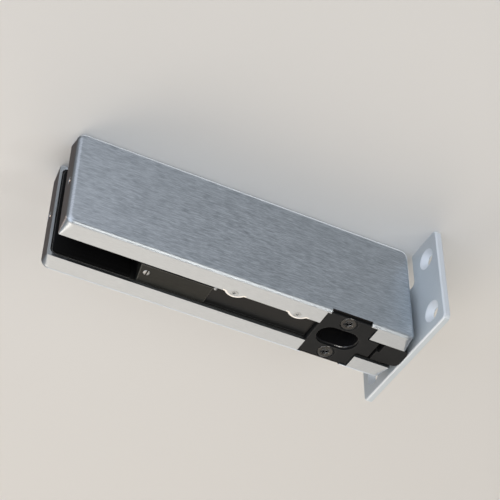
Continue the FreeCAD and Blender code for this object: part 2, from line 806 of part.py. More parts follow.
clamp_washers = new_body("clamp_washers")
rings = new_sketch(clamp_washers, "rings", "XZ_Plane", -washer_seat)
circles(rings, all_bolts, d.washer_radius)
circles(rings, all_bolts, d.washer_hole)
pad(clamp_washers, rings, d.washer, -1)

# End arm: a bent block clamped between the jaws above the socket block. Its foot meets the plate
# with round edges and is nicked at the front, beside the neck of the socket block.

end_arm = new_body("end_arm")
side_view = new_sketch(end_arm, "side_view", "XZ_Plane", -d.arm_half)
polygon(side_view, [
    (d.arm_left, d.block_high), (d.arm_step, d.block_high), (d.arm_step, d.arm_low),
    (d.plate_left, d.arm_low), (d.plate_left, d.boss_high), (d.arm_left, d.boss_high),
])
pad(end_arm, side_view, d.arm_half * 2, 1)
foot_edges = [(d.plate_left, -d.arm_half), (d.plate_left, d.arm_half)]
fillet(end_arm, "foot", d.arm_round, upright("Z", *foot_edges))
nick = new_sketch(end_arm, "nick", "XY_Plane", d.arm_low)
rectangle(nick, d.arm_step - d.arm_nick, d.arm_step + d.arm_nick, -d.slot_half, zero)
pocket(end_arm, nick, d.block_high - d.arm_low, 1)
arm_bolt_hole = new_sketch(end_arm, "bolt_hole", "XZ_Plane", -d.arm_half)
circles(arm_bolt_hole, [(d.bolt_right, d.bolt_right_height)], d.bolt_hole)
drill(end_arm, arm_bolt_hole, d.bolt_hole, 1)
arm_threads = new_sketch(end_arm, "plate_threads", "YZ_Plane", d.plate_left)
circles(arm_threads, arm_screw_places, d.arm_screw_shank)
drill(end_arm, arm_threads, d.arm_screw_shank, -1, d.arm_screw_length - d.plate)

# End plate: flat bar with round corners, a notch that lets the glass pass, four countersunk holes
# for the wall screws and, from the wall side, two for the screws of the arm.

end_plate = new_body("end_plate")
plate_outline = new_sketch(end_plate, "outline", "YZ_Plane", d.plate_left)
polygon(plate_outline, [
    (-d.plate_half, d.plate_low), (d.plate_half, d.plate_low),
    (d.plate_half, d.plate_high), (d.plate_notch_half, d.plate_high),
    (d.plate_notch_half, d.plate_notch_low), (-d.plate_notch_half, d.plate_notch_low),
    (-d.plate_notch_half, d.plate_high), (-d.plate_half, d.plate_high),
])
pad(end_plate, plate_outline, d.plate, 1)
plate_corners = [(y, z) for y in (-d.plate_half, d.plate_half) for z in (d.plate_low, d.plate_high)]
fillet(end_plate, "corners", d.plate_corner, upright("X", *plate_corners))
notch_corners = [
    (y, z)
    for y in (-d.plate_notch_half, d.plate_notch_half)
    for z in (d.plate_notch_low, d.plate_high)
]
fillet(end_plate, "notch", d.plate_notch_round, upright("X", *notch_corners))
chamfer(end_plate, "edge", d.plate_edge, on_plane("X", d.plate_left))
wall_holes = new_sketch(end_plate, "wall_holes", "YZ_Plane", d.plate_left)
wall_places = [
    (y, z)
    for y in (-d.plate_hole_y, d.plate_hole_y)
    for z in (d.plate_hole_low, d.plate_hole_high)
]
circles(wall_holes, wall_places, d.plate_bore)
drill(end_plate, wall_holes, d.plate_bore, 1, rim=d.plate_rim)
arm_holes = new_sketch(end_plate, "arm_holes", "YZ_Plane", plate_right)
circles(arm_holes, arm_screw_places, d.arm_screw_shank)
drill(end_plate, arm_holes, d.arm_screw_shank, -1, rim=d.arm_screw_head)

# Test every object and every solid, then write one file for each sub-part.

doc.recompute()
for item in doc.Objects:
    if "Invalid" in item.State or "Error" in item.State:
        raise RuntimeError(f"{item.Name} failed: {item.State}")
bodies = [item for item in doc.Objects if item.TypeId == "PartDesign::Body"]
for body in bodies:
    body.Placement = FreeCAD.Placement()
    if body.Shape.isNull() or not body.Shape.isValid():
        raise RuntimeError(f"{body.Label} has no valid shape")
os.makedirs("parts", exist_ok=True)
for body in bodies:
    body.Shape.exportStep(f"parts/{body.Label}.step")
    print(body.Label, len(body.Shape.Solids), round(body.Shape.Volume, 1))
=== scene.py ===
import math

import bmesh
import bpy
from mathutils import Matrix, Vector


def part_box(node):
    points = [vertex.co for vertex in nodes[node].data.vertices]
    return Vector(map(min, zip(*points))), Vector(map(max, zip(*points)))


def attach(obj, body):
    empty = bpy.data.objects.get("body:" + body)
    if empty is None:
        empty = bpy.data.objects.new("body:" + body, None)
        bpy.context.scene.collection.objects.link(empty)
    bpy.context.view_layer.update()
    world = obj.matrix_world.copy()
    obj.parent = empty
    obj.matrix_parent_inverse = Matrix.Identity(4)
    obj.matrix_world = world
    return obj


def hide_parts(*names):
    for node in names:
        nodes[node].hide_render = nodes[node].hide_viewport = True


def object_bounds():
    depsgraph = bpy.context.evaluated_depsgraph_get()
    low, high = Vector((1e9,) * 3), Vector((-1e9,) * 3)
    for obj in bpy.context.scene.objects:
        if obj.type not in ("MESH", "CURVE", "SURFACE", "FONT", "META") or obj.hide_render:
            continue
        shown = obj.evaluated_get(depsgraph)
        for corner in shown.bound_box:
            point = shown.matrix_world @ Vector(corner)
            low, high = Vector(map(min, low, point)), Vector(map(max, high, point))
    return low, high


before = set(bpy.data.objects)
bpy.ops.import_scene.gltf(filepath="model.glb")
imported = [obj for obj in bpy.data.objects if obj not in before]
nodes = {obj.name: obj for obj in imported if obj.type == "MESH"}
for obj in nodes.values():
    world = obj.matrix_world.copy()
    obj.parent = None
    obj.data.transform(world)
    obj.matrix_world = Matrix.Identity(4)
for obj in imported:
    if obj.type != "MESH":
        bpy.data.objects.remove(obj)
cad_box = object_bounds()
scene = bpy.context.scene
scene.view_settings.view_transform = "Standard"


# Jaws: the two halves that clamp the glass, die-cast in zinc and dipped in black electro-coat. They
# come first, and all the rest is laid between them or screwed on to them.

def linear(colour):
    """An sRGB hex colour as the linear values that a shader takes."""
    parts = [int(colour[i:i + 2], 16) / 255 for i in (0, 2, 4)]
    return [c / 12.92 if c <= 0.04045 else ((c + 0.055) / 1.055) ** 2.4 for c in parts] + [1.0]


def new_material(name):
    """An empty material, its node tree, its shader and the place of each point in metres."""
    material = bpy.data.materials.new(name)
    material.use_nodes = True
    tree = material.node_tree
    place = tree.nodes.new("ShaderNodeTexCoord").outputs["Object"]
    return material, tree, tree.nodes["Principled BSDF"], place


# A mix node has inputs of one name for each kind of value, so they go by number: 0 is the share, 2
# and 3 are two numbers, and 6 and 7 two colours. Its output 0 is a number and output 2 a colour.
def add(tree, kind, settings, links):
    """A node with its settings, by input or property name, and the outputs that feed its inputs."""
    node = tree.nodes.new(kind)
    for name, value in settings.items():
        if isinstance(name, int) or name in node.inputs:
            node.inputs[name].default_value = value
        else:
            setattr(node, name, value)
    for name, output in links.items():
        tree.links.new(output, node.inputs[name])
    return node


def repeats(millimetres):
    """The scale at which a pattern on Object coordinates, in metres, repeats at a real size."""
    return 1000.0 / millimetres


def dress(material, *names):
    """Give CAD nodes their finish."""
    for name in names:
        nodes[name].material_slots[0].material = material


# An edge is paler where the softened normal turns away from the flat one: wear on the blackened
# steel, and partly wear, partly a painted highlight on the jaws and the packing block. These are
# the cosines of that turn where the paler tone begins and where it is full.
PALE_EDGE_BEGINS, PALE_EDGE_FULL = 0.98, 0.86


def edge_wear_and_highlight(tree, radius, colour, share):
    """Paler edges, from wear and in part as a painted highlight: the softened normal, and a mix
    that still wants the main colour.
    """
    flat = add(tree, "ShaderNodeNewGeometry", {}, {})
    soft = add(tree, "ShaderNodeBevel", {"samples": 4, "Radius": radius}, {})
    turn = add(
        tree, "ShaderNodeVectorMath", {"operation": "DOT_PRODUCT"},
        {0: soft.outputs["Normal"], 1: flat.outputs["Normal"]},
    )
    wear_and_highlight_share = add(
        tree, "ShaderNodeMapRange",
        {"From Min": PALE_EDGE_BEGINS, "From Max": PALE_EDGE_FULL, "To Min": 0.0, "To Max": share},
        {"Value": turn.outputs["Value"]},
    )
    wear_and_highlight = add(
        tree, "ShaderNodeMix", {"data_type": "RGBA", 7: linear(colour)},
        {0: wear_and_highlight_share.outputs["Result"]},
    )
    return soft.outputs["Normal"], wear_and_highlight


# Electro-coat follows the cast skin: nearly black, a soft gloss, a faint orange-peel ripple, and a
# paler line over the edges, partly wear where it has rubbed thin and partly a painted highlight.
# That line is plain at the open end of the slot, left of the glass cut-out, and faint elsewhere.
CUTOUT_LEFT = -0.0974
e_coat, tree, shader, place = new_material("black_electro_coat_on_zinc")
clouds = add(tree, "ShaderNodeTexNoise", {"Scale": repeats(14), "Detail": 3.0}, {"Vector": place})
peel = add(tree, "ShaderNodeTexNoise", {"Scale": repeats(1.1), "Detail": 2.0}, {"Vector": place})
tone = add(
    tree, "ShaderNodeMix", {"data_type": "RGBA", 6: linear("1e1e1e"), 7: linear("292928")},
    {0: clouds.outputs["Fac"]},
)
gloss = add(
    tree, "ShaderNodeMapRange", {"From Min": 0.3, "From Max": 0.7, "To Min": 0.28, "To Max": 0.4},
    {"Value": clouds.outputs["Fac"]},
)
# the paler edge line: partly wear, partly a painted highlight
cast_edge, wear_and_highlight = edge_wear_and_highlight(tree, radius=0.0003, colour="b0aeaa", share=0.8)
tree.links.new(tone.outputs[2], wear_and_highlight.inputs[6])
spot = add(tree, "ShaderNodeSeparateXYZ", {}, {"Vector": place})
open_end = add(
    tree, "ShaderNodeMath", {"operation": "LESS_THAN", 1: CUTOUT_LEFT}, {0: spot.outputs["X"]},
)
# the painted edge highlight is full at the open end of the slot and faint elsewhere
edge_line_share = add(
    tree, "ShaderNodeMapRange", {"To Min": 0.15, "To Max": 1.0},
    {"Value": open_end.outputs["Value"]},
)
coat = add(
    tree, "ShaderNodeMix", {"data_type": "RGBA"},
    {0: edge_line_share.outputs["Result"], 6: tone.outputs[2], 7: wear_and_highlight.outputs[2]},
)
ripple = add(
    tree, "ShaderNodeBump", {"Strength": 0.25, "Distance": 0.00004},
    {"Height": peel.outputs["Fac"], "Normal": cast_edge},
)
tree.links.new(coat.outputs[2], shader.inputs["Base Color"])
tree.links.new(gloss.outputs["Result"], shader.inputs["Roughness"])
tree.links.new(ripple.outputs["Normal"], shader.inputs["Normal"])
shader.inputs["Specular IOR Level"].default_value = 0.13
dress(e_coat, "front_jaw", "rear_jaw")


# Gaskets: a strip of black rubber glued to the clamping face of each jaw, so that the glass never
# meets metal. Cut from moulded sheet with fine ribs and soft edges, and notched round the boss.

MERGE_DISTANCE = 1e-7
SHARP_TURN = math.radians(38)


def make_piece(shape, name, material, node):
    """An object from a finished shape, which stands for a CAD node and rides on the fitting."""
    bmesh.ops.remove_doubles(shape, verts=shape.verts, dist=MERGE_DISTANCE)
    bmesh.ops.recalc_face_normals(shape, faces=shape.faces)
    mesh = bpy.data.meshes.new(name)
    shape.to_mesh(mesh)
    shape.free()
    mesh.materials.append(material)
    mesh.shade_smooth()
    mesh.set_sharp_from_angle(angle=SHARP_TURN)
    piece = bpy.data.objects.new(name, mesh)
    scene.collection.objects.link(piece)
    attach(piece, "root")
    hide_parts(node)


def bevel(shape, edges, width, segments):
    """Round some edges of a shape, or chamfer them with one segment."""
    bmesh.ops.bevel(
        shape, geom=edges, offset=width, offset_type="OFFSET", affect="EDGES",
        segments=segments, profile=0.5, material=-1, clamp_overlap=True,
    )


def slab(outline, shift):
    """A solid from a flat outline of points, carried along a straight shift."""
    shape = bmesh.new()
    face = shape.faces.new([shape.verts.new(point) for point in outline])
    grown = bmesh.ops.extrude_face_region(shape, geom=[face], use_keep_orig=True)
    moved = [item for item in grown["geom"] if isinstance(item, bmesh.types.BMVert)]
    bmesh.ops.translate(shape, verts=moved, vec=shift)
    bmesh.ops.recalc_face_normals(shape, faces=shape.faces)
    return shape


# Rubber is almost black and dull. The ribs are 0.6 mm apart on such sheet and drawn at 1.2 mm, so
# that they show.
rubber, tree, shader, place = new_material("moulded_epdm_rubber")
ribs = add(
    tree, "ShaderNodeTexWave",
    {"bands_direction": "Z", "Scale": repeats(1.2) / (2 * math.pi), "Distortion": 0.4},
    {"Vector": place},
)
bloom = add(tree, "ShaderNodeTexNoise", {"Scale": repeats(9), "Detail": 4.0}, {"Vector": place})
tone = add(
    tree, "ShaderNodeMix", {"data_type": "RGBA", 6: linear("070707"), 7: linear("0d0d0d")},
    {0: bloom.outputs["Fac"]},
)
relief = add(
    tree, "ShaderNodeBump", {"Strength": 0.5, "Distance": 0.0001}, {"Height": ribs.outputs["Fac"]},
)
tree.links.new(tone.outputs[2], shader.inputs["Base Color"])
tree.links.new(relief.outputs["Normal"], shader.inputs["Normal"])
shader.inputs["Roughness"].default_value = 0.72
shader.inputs["Specular IOR Level"].default_value = 0.12

# A rim turns by a right angle and the facets of a rounded corner by much less, so RIM_TURN tells
# them apart.
CUTOUT_TOP = 0.036
GASKET_CORNER, GASKET_EDGE, RIM_TURN = 0.0014, 0.0003, math.radians(60)
for name in ("front_gasket", "rear_gasket"):
    low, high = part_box(name)
    gasket = slab(
        [
            (low.x, low.y, low.z), (CUTOUT_LEFT, low.y, low.z), (CUTOUT_LEFT, low.y, CUTOUT_TOP),
            (high.x, low.y, CUTOUT_TOP), (high.x, low.y, high.z), (low.x, low.y, high.z),
        ],
        (0, high.y - low.y, 0),
    )
    corners = [
        edge for edge in gasket.edges
        if abs(edge.verts[0].co.y - edge.verts[1].co.y) > MERGE_DISTANCE
    ]
    bevel(gasket, corners, GASKET_CORNER, segments=4)
    rims = [edge for edge in gasket.edges if edge.calc_face_angle(0) > RIM_TURN]
    bevel(gasket, rims, GASKET_EDGE, segments=2)
    make_piece(gasket, name + "_strip", rubber, name)


# Glass edge pad: a soft strip of the same rubber on top of the boss and the packing block, on which
# the cut edge of the glass rests. It is laid in loose and held by the glass.

PAD_EDGE = 0.0007
low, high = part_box("glass_edge_pad")
pad = slab(
    [
        (low.x, low.y, low.z), (high.x, low.y, low.z), (high.x, high.y, low.z),
        (low.x, high.y, low.z),
    ],
    (0, 0, high.z - low.z),
)
bevel(pad, pad.edges[:], PAD_EDGE, segments=4)
make_piece(pad, "glass_edge_strip", rubber, "glass_edge_pad")


# Packing block: moulded in glass-filled nylon, it fills the cut-out beside the boss. Its free end
# is cut at a slant, a rebate runs along its front edge, and its edges have small chamfers.

# Glass-filled nylon is a dark olive grey with flecks of fibre just under a dull skin, and paler
# along the edges, partly from wear and partly as a painted highlight. The walls that face the
# front, in and over the rebate, are painted black as shade: a wall faces that way where the Y of
# its normal is under FRONT_FACING.
FRONT_FACING = -0.8
nylon, tree, shader, place = new_material("glass_filled_nylon")
along = add(tree, "ShaderNodeMapping", {"Scale": (0.25, 1.0, 1.0)}, {"Vector": place})
fibres = add(
    tree, "ShaderNodeTexNoise", {"Scale": repeats(0.9), "Detail": 3.0},
    {"Vector": along.outputs["Vector"]},
)
tone = add(
    tree, "ShaderNodeMix", {"data_type": "RGBA", 6: linear("20201c"), 7: linear("2f2f2b")},
    {0: fibres.outputs["Fac"]},
)
# the paler edge line: partly wear, partly a painted highlight
moulded_edge, wear_and_highlight = edge_wear_and_highlight(tree, radius=0.0006, colour="a5a39c", share=0.6)
tree.links.new(tone.outputs[2], wear_and_highlight.inputs[6])
skin = add(
    tree, "ShaderNodeBump", {"Strength": 0.3, "Distance": 0.00004},
    {"Height": fibres.outputs["Fac"], "Normal": moulded_edge},
)
turned = add(tree, "ShaderNodeNewGeometry", {}, {})
axes = add(tree, "ShaderNodeSeparateXYZ", {}, {"Vector": turned.outputs["Normal"]})
# painted shade: the walls that face the front, in and over the rebate, turn near black
to_front = add(
    tree, "ShaderNodeMath", {"operation": "LESS_THAN", 1: FRONT_FACING}, {0: axes.outputs["Y"]},
)
front_painted_shade = add(
    tree, "ShaderNodeMix", {"data_type": "RGBA", 7: linear("080808")},
    {0: to_front.outputs["Value"], 6: wear_and_highlight.outputs[2]},
)
tree.links.new(front_painted_shade.outputs[2], shader.inputs["Base Color"])
tree.links.new(skin.outputs["Normal"], shader.inputs["Normal"])
shader.inputs["Roughness"].default_value = 0.48
shader.inputs["Specular IOR Level"].default_value = 0.2

PACKING_SKEW, PACKING_CHAMFER = 0.0022, 0.0002
REBATE_WIDTH, REBATE_RISE = 0.003, 0.0024
low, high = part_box("packing_block")
packing = slab(
    [
        (high.x, low.y + REBATE_WIDTH, low.z), (high.x, high.y, low.z), (high.x, high.y, high.z),
        (high.x, low.y, high.z), (high.x, low.y, low.z + REBATE_RISE),
        (high.x, low.y + REBATE_WIDTH, low.z + REBATE_RISE),
    ],
    (low.x - high.x, 0, 0),
)
for vert in packing.verts:
    if vert.co.x < (low.x + high.x) / 2:
        vert.co.x += PACKING_SKEW * (vert.co.y - low.y) / (high.y - low.y)
bevel(packing, packing.edges[:], PACKING_CHAMFER, segments=1)
make_piece(packing, "packing_filler", nylon, "packing_block")


# Packing screw: a small slotted screw with a rounded head that holds the packing block. Turned from
# steel rod, slotted with a saw and zinc plated.

def grow(shape, edges, radius, height):
    """Carry an open rim about the upright axis to a new radius and height."""
    grown = bmesh.ops.extrude_edge_only(shape, edges=edges)["geom"]
    verts = [item for item in grown if isinstance(item, bmesh.types.BMVert)]
    for vert in verts:
        vert.co.xy = vert.co.xy.normalized() * radius
        vert.co.z = height
    return [item for item in grown if isinstance(item, bmesh.types.BMEdge)]


# Zinc plate is a bright, slightly blue metal with a faint cloudiness from the bath.
zinc, tree, shader, place = new_material("zinc_plated_steel")
haze = add(tree, "ShaderNodeTexNoise", {"Scale": repeats(0.8), "Detail": 2.0}, {"Vector": place})
gloss = add(
    tree, "ShaderNodeMapRange", {"To Min": 0.25, "To Max": 0.5}, {"Value": haze.outputs["Fac"]},
)
tree.links.new(gloss.outputs["Result"], shader.inputs["Roughness"])
shader.inputs["Base Color"].default_value = linear("a9abac")
shader.inputs["Metallic"].default_value = 1.0
dress(zinc, "clamp_washers")

# The rounded crown of the head runs from a flat middle, as shares of the head's radius and of the
# depth of the slot.
HEAD_HEIGHT, SHANK_RADIUS, SLOT_WIDTH, SLOT_DEPTH = 0.0013, 0.001, 0.0007, 0.00065
HEAD_PROUD = 0.0003
HEAD_FLAT, HEAD_CROWN = 0.5, ((0.72, 0.08), (0.88, 0.35), (0.97, 0.7), (1.0, 1.0))
low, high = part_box("packing_screw")
head_radius = (high.x - low.x) / 2
cheese = bmesh.new()
bmesh.ops.create_circle(cheese, cap_ends=True, segments=40, radius=head_radius * HEAD_FLAT)
rim = cheese.edges[:]
for share, drop in HEAD_CROWN:
    rim = grow(cheese, rim, head_radius * share, SLOT_DEPTH * drop)
rim = grow(cheese, rim, head_radius, HEAD_HEIGHT)
rim = grow(cheese, rim, SHANK_RADIUS, HEAD_HEIGHT)
rim = grow(cheese, rim, SHANK_RADIUS, high.z - low.z)
bmesh.ops.contextual_create(cheese, geom=rim)
for side in (-1, 1):
    bmesh.ops.bisect_plane(
        cheese, geom=cheese.verts[:] + cheese.edges[:] + cheese.faces[:],
        plane_co=(side * SLOT_WIDTH / 2, 0, 0), plane_no=(1, 0, 0),
    )
slot_faces = [
    face for face in cheese.faces
    if abs(face.calc_center_median().x) < SLOT_WIDTH / 2
    and max(vert.co.z for vert in face.verts) < SLOT_DEPTH + MERGE_DISTANCE
]
bmesh.ops.delete(cheese, geom=slot_faces, context="FACES")
lips = [
    edge for edge in cheese.edges
    if edge.is_boundary and min(vert.co.z for vert in edge.verts) < SLOT_DEPTH - MERGE_DISTANCE
]
sunk = bmesh.ops.extrude_edge_only(cheese, edges=lips)["geom"]
for item in sunk:
    if isinstance(item, bmesh.types.BMVert):
        item.co.z = SLOT_DEPTH
bmesh.ops.remove_doubles(cheese, verts=cheese.verts, dist=MERGE_DISTANCE)
slot_floor = [edge for edge in cheese.edges if edge.is_boundary]
bmesh.ops.contextual_create(cheese, geom=slot_floor)
middle = (low + high) / 2
bmesh.ops.translate(cheese, verts=cheese.verts, vec=(middle.x, middle.y, low.z - HEAD_PROUD))
make_piece(cheese, "packing_cheese_screw", zinc, "packing_screw")


# Packing pin: a plain zinc-plated dowel pressed into the corner of the boss, its end domed by a
# file and standing a little proud.

DOME_HEIGHT, DOME_FLAT = 0.0009, 0.2
low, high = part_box("packing_pin")
middle = (low + high) / 2
pin_radius = (high.x - low.x) / 2
pin = bmesh.new()
bmesh.ops.create_circle(pin, cap_ends=True, segments=28, radius=pin_radius * DOME_FLAT)
rim = pin.edges[:]
for turn in (25, 45, 65, 90):
    angle = math.radians(turn)
    rim = grow(pin, rim, pin_radius * math.sin(angle), DOME_HEIGHT * (1 - math.cos(angle)))
rim = grow(pin, rim, pin_radius, high.z - low.z)
bmesh.ops.contextual_create(pin, geom=rim)
bmesh.ops.translate(pin, verts=pin.verts, vec=(middle.x, middle.y, low.z))
make_piece(pin, "packing_dowel", zinc, "packing_pin")


# Clamp bolts: low-head bolts in blackened alloy steel that draw the jaws together, with a washer
# under each head. The covers hide them.

# Black oxide on turned steel is charcoal with a soft metallic sheen and a fine grain, drawn as
# coarse as 0.7 mm, so that it shows. It has rubbed bright along the rims.
screw_black, tree, shader, place = new_material("blackened_alloy_steel")
grain = add(tree, "ShaderNodeTexNoise", {"Scale": repeats(0.7), "Detail": 3.0}, {"Vector": place})
tone = add(
    tree, "ShaderNodeMix", {"data_type": "RGBA", 6: linear("353535"), 7: linear("4a4a49")},
    {0: grain.outputs["Fac"]},
)
gloss = add(
    tree, "ShaderNodeMapRange", {"To Min": 0.2, "To Max": 0.36}, {"Value": grain.outputs["Fac"]},
)
turned_edge, wear_and_highlight = edge_wear_and_highlight(tree, radius=0.00035, colour="e0deda", share=0.85)
tree.links.new(tone.outputs[2], wear_and_highlight.inputs[6])
tree.links.new(wear_and_highlight.outputs[2], shader.inputs["Base Color"])
tree.links.new(gloss.outputs["Result"], shader.inputs["Roughness"])
tree.links.new(turned_edge, shader.inputs["Normal"])
shader.inputs["Metallic"].default_value = 1.0
dress(screw_black, "clamp_bolts")


# End arm and socket block: sawn from steel bar, milled and chemically blackened. The arm is clamped
# between the jaws and carries the end plate. The block sits in the lower edge, for the spindle.

# Black oxide on milled steel is a dull black with faint parallel cutter marks, near 0.3 mm apart on
# such bar and drawn at 0.8 mm, so that they show. Bare steel shows through in a thin line where the
# edges have rubbed.
oxide, tree, shader, place = new_material("black_oxide_on_milled_steel")
cutter = add(tree, "ShaderNodeMapping", {"Scale": (1.0, 0.08, 1.0)}, {"Vector": place})
marks = add(
    tree, "ShaderNodeTexNoise", {"Scale": repeats(0.8), "Detail": 2.0},
    {"Vector": cutter.outputs["Vector"]},
)
stain = add(tree, "ShaderNodeTexNoise", {"Scale": repeats(7), "Detail": 4.0}, {"Vector": place})
black = add(
    tree, "ShaderNodeMix", {"data_type": "RGBA", 6: linear("1d1e1f"), 7: linear("262727")},
    {0: stain.outputs["Fac"]},
)
milled_edge, wear_and_highlight = edge_wear_and_highlight(tree, radius=0.00025, colour="8b8884", share=0.35)
tree.links.new(black.outputs[2], wear_and_highlight.inputs[6])
lines = add(
    tree, "ShaderNodeBump", {"Strength": 0.2, "Distance": 0.00003},
    {"Height": marks.outputs["Fac"], "Normal": milled_edge},
)
tree.links.new(wear_and_highlight.outputs[2], shader.inputs["Base Color"])
tree.links.new(lines.outputs["Normal"], shader.inputs["Normal"])
shader.inputs["Roughness"].default_value = 0.46
shader.inputs["Specular IOR Level"].default_value = 0.1
dress(oxide, "socket_block", "end_arm")


# End plate: flat aluminium bar, sawn and drilled, with tumbled edges and a satin anodised skin. Two
# screws from the wall side hold it on the arm.

# Satin anodising scatters light evenly and keeps a cool, pale metal tone with a very fine grain.
# The grain is near 0.1 mm on the real plate and drawn at 0.4 mm, so that it shows. Light and shade
# are painted by facing: the face on the fitting's side and the lower edge take a darker tone, and
# the rest a shade brighter, which in the countersinks is also bare metal. A face takes the darker
# tone where the X or the Z of its normal is under the limit set below.
PAINTED_SHADE_FACING = -0.85
satin, tree, shader, place = new_material("satin_anodised_aluminium")
grit = add(tree, "ShaderNodeTexNoise", {"Scale": repeats(0.4), "Detail": 2.0}, {"Vector": place})
drift = add(tree, "ShaderNodeTexNoise", {"Scale": repeats(18), "Detail": 3.0}, {"Vector": place})
tone = add(
    tree, "ShaderNodeMix", {"data_type": "RGBA", 6: linear("d2dade"), 7: linear("dce2e6")},
    {0: drift.outputs["Fac"]},
)
gloss = add(
    tree, "ShaderNodeMapRange", {"To Min": 0.72, "To Max": 0.84}, {"Value": grit.outputs["Fac"]},
)
soft = add(tree, "ShaderNodeBevel", {"samples": 4, "Radius": 0.0006}, {})
skin = add(
    tree, "ShaderNodeBump", {"Strength": 0.12, "Distance": 0.00002},
    {"Height": grit.outputs["Fac"], "Normal": soft.outputs["Normal"]},
)
turned = add(tree, "ShaderNodeNewGeometry", {}, {})
axes = add(tree, "ShaderNodeSeparateXYZ", {}, {"Vector": turned.outputs["Normal"]})
# painted light and shade by facing: all but the face on the fitting's side and the lower edge take
# the brighter tone
off_face = add(
    tree, "ShaderNodeMath", {"operation": "GREATER_THAN", 1: PAINTED_SHADE_FACING}, {0: axes.outputs["X"]},
)
off_edge = add(
    tree, "ShaderNodeMath", {"operation": "GREATER_THAN", 1: PAINTED_SHADE_FACING}, {0: axes.outputs["Z"]},
)
lit_faces_painted = add(
    tree, "ShaderNodeMath", {"operation": "MULTIPLY"},
    {0: off_face.outputs["Value"], 1: off_edge.outputs["Value"]},
)
facing_tone = add(
    tree, "ShaderNodeMix", {"data_type": "RGBA", 7: linear("eaeef1")},
    {0: lit_faces_painted.outputs["Value"], 6: tone.outputs[2]},
)
tree.links.new(facing_tone.outputs[2], shader.inputs["Base Color"])
tree.links.new(gloss.outputs["Result"], shader.inputs["Roughness"])
tree.links.new(skin.outputs["Normal"], shader.inputs["Normal"])
shader.inputs["Metallic"].default_value = 1.0
dress(satin, "end_plate")


# Arm screws: two countersunk hexagon-socket screws from the wall side of the plate into the arm, in
# blackened alloy steel. One function makes every countersunk screw of the fitting.

def ring(shape, radius, height, hexagon=False):
    """A closed level rim about the upright axis: a circle, or a hexagon with its corners on it."""
    level = Matrix.Translation((0, 0, height))
    made = bmesh.ops.create_circle(
        shape, cap_ends=False, segments=48, radius=radius, matrix=level,
    )["verts"]
    if hexagon:
        sector = math.radians(60)
        for vert in made:
            turn = math.atan2(vert.co.y, vert.co.x) % sector - sector / 2
            vert.co.xy = vert.co.xy * math.cos(sector / 2) / math.cos(turn)
    return list({edge for vert in made for edge in vert.link_edges})


def close_over(shape, rims):
    """Bridge a row of rims, each to the next, and cap the first and the last."""
    for first, second in zip(rims, rims[1:]):
        bmesh.ops.bridge_loops(shape, edges=first + second)
    for end in (rims[0], rims[-1]):
        bmesh.ops.contextual_create(shape, geom=end)


# The rounded rim is a share of the head's radius, and its middle is given in rim widths. The lead
# into the key and the drill point at its foot are shares of the key's radius. Half way out, a
# crowned face has dropped by a share of its crown.
RIM_SHARE, RIM_INWARD, RIM_DOWN = 0.09, 1.1, 0.55
LEAD_SHARE, POINT_RADIUS, POINT_DEPTH = 0.3, 0.25, 0.4
CROWN_SHARE = 0.75


def countersunk_screws(head, shank, length, key, key_depth, places, crown=0.0):
    """Like screws in one shape, each made with its face down at the origin and put in its place."""
    shape = bmesh.new()
    edge, lead = head * RIM_SHARE, key * LEAD_SHARE
    for placed in places:
        start = len(shape.verts)
        rims = [
            # the key, from its drill point to its mouth
            ring(shape, key * POINT_RADIUS, key_depth + key * POINT_DEPTH),
            ring(shape, key, key_depth, hexagon=True),
            ring(shape, key, lead, hexagon=True),
            ring(shape, key + lead, 0),
            # the face, flat or crowned, and its rounded rim
            ring(shape, (key + lead + head) / 2, crown * CROWN_SHARE),
            ring(shape, head - 2 * edge, crown),
            ring(shape, head - RIM_INWARD * edge, crown + edge * RIM_DOWN),
            ring(shape, head - edge, crown + edge),
            # the cone and the shank
            ring(shape, shank, crown + head - shank),
            ring(shape, shank, length - edge),
            ring(shape, shank - edge, length),
        ]
        close_over(shape, rims)
        shape.verts.ensure_lookup_table()
        bmesh.ops.transform(shape, matrix=placed, verts=shape.verts[start:])
    return shape


ARM_HEAD, ARM_SHANK, ARM_KEY, ARM_KEY_DEPTH = 0.0046, 0.002, 0.00145, 0.0016
low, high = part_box("arm_screws")
faced_right = Matrix.Rotation(math.radians(-90), 4, "Y")
arm_pair = countersunk_screws(
    ARM_HEAD, ARM_SHANK, high.x - low.x, ARM_KEY, ARM_KEY_DEPTH,
    [
        Matrix.Translation((high.x, 0, height)) @ faced_right
        for height in (low.z + ARM_HEAD, high.z - ARM_HEAD)
    ],
)
make_piece(arm_pair, "arm_socket_screws", screw_black, "arm_screws")


# Socket liner: a moulded cup of black acetal with a round lip, pressed into the block from above
# and held by the shoulder of the mouth. The spindle on which the door turns sits in it.

# Acetal straight from a polished mould is deep black and glossy, with only faint handling marks.
# The spindle has burnished the round lip about one place along the length. The lip is told from the
# face and the bore by its slope.
BEARING_PLACE, BEARING_REACH = 0.0048, 0.0032
LIP_STEEPEST, LIP_FLATTEST = -0.15, -0.97
acetal, tree, shader, place = new_material("polished_black_acetal")
smear = add(tree, "ShaderNodeTexNoise", {"Scale": repeats(5), "Detail": 3.0}, {"Vector": place})
gloss = add(
    tree, "ShaderNodeMapRange", {"To Min": 0.06, "To Max": 0.14}, {"Value": smear.outputs["Fac"]},
)
turned = add(tree, "ShaderNodeNewGeometry", {}, {})
axes = add(tree, "ShaderNodeSeparateXYZ", {}, {"Vector": turned.outputs["Normal"]})
sloped = add(
    tree, "ShaderNodeMath", {"operation": "LESS_THAN", 1: LIP_STEEPEST}, {0: axes.outputs["Z"]},
)
not_flat = add(
    tree, "ShaderNodeMath", {"operation": "GREATER_THAN", 1: LIP_FLATTEST}, {0: axes.outputs["Z"]},
)
lip = add(
    tree, "ShaderNodeMath", {"operation": "MULTIPLY"},
    {0: sloped.outputs["Value"], 1: not_flat.outputs["Value"]},
)
spot = add(tree, "ShaderNodeSeparateXYZ", {}, {"Vector": place})
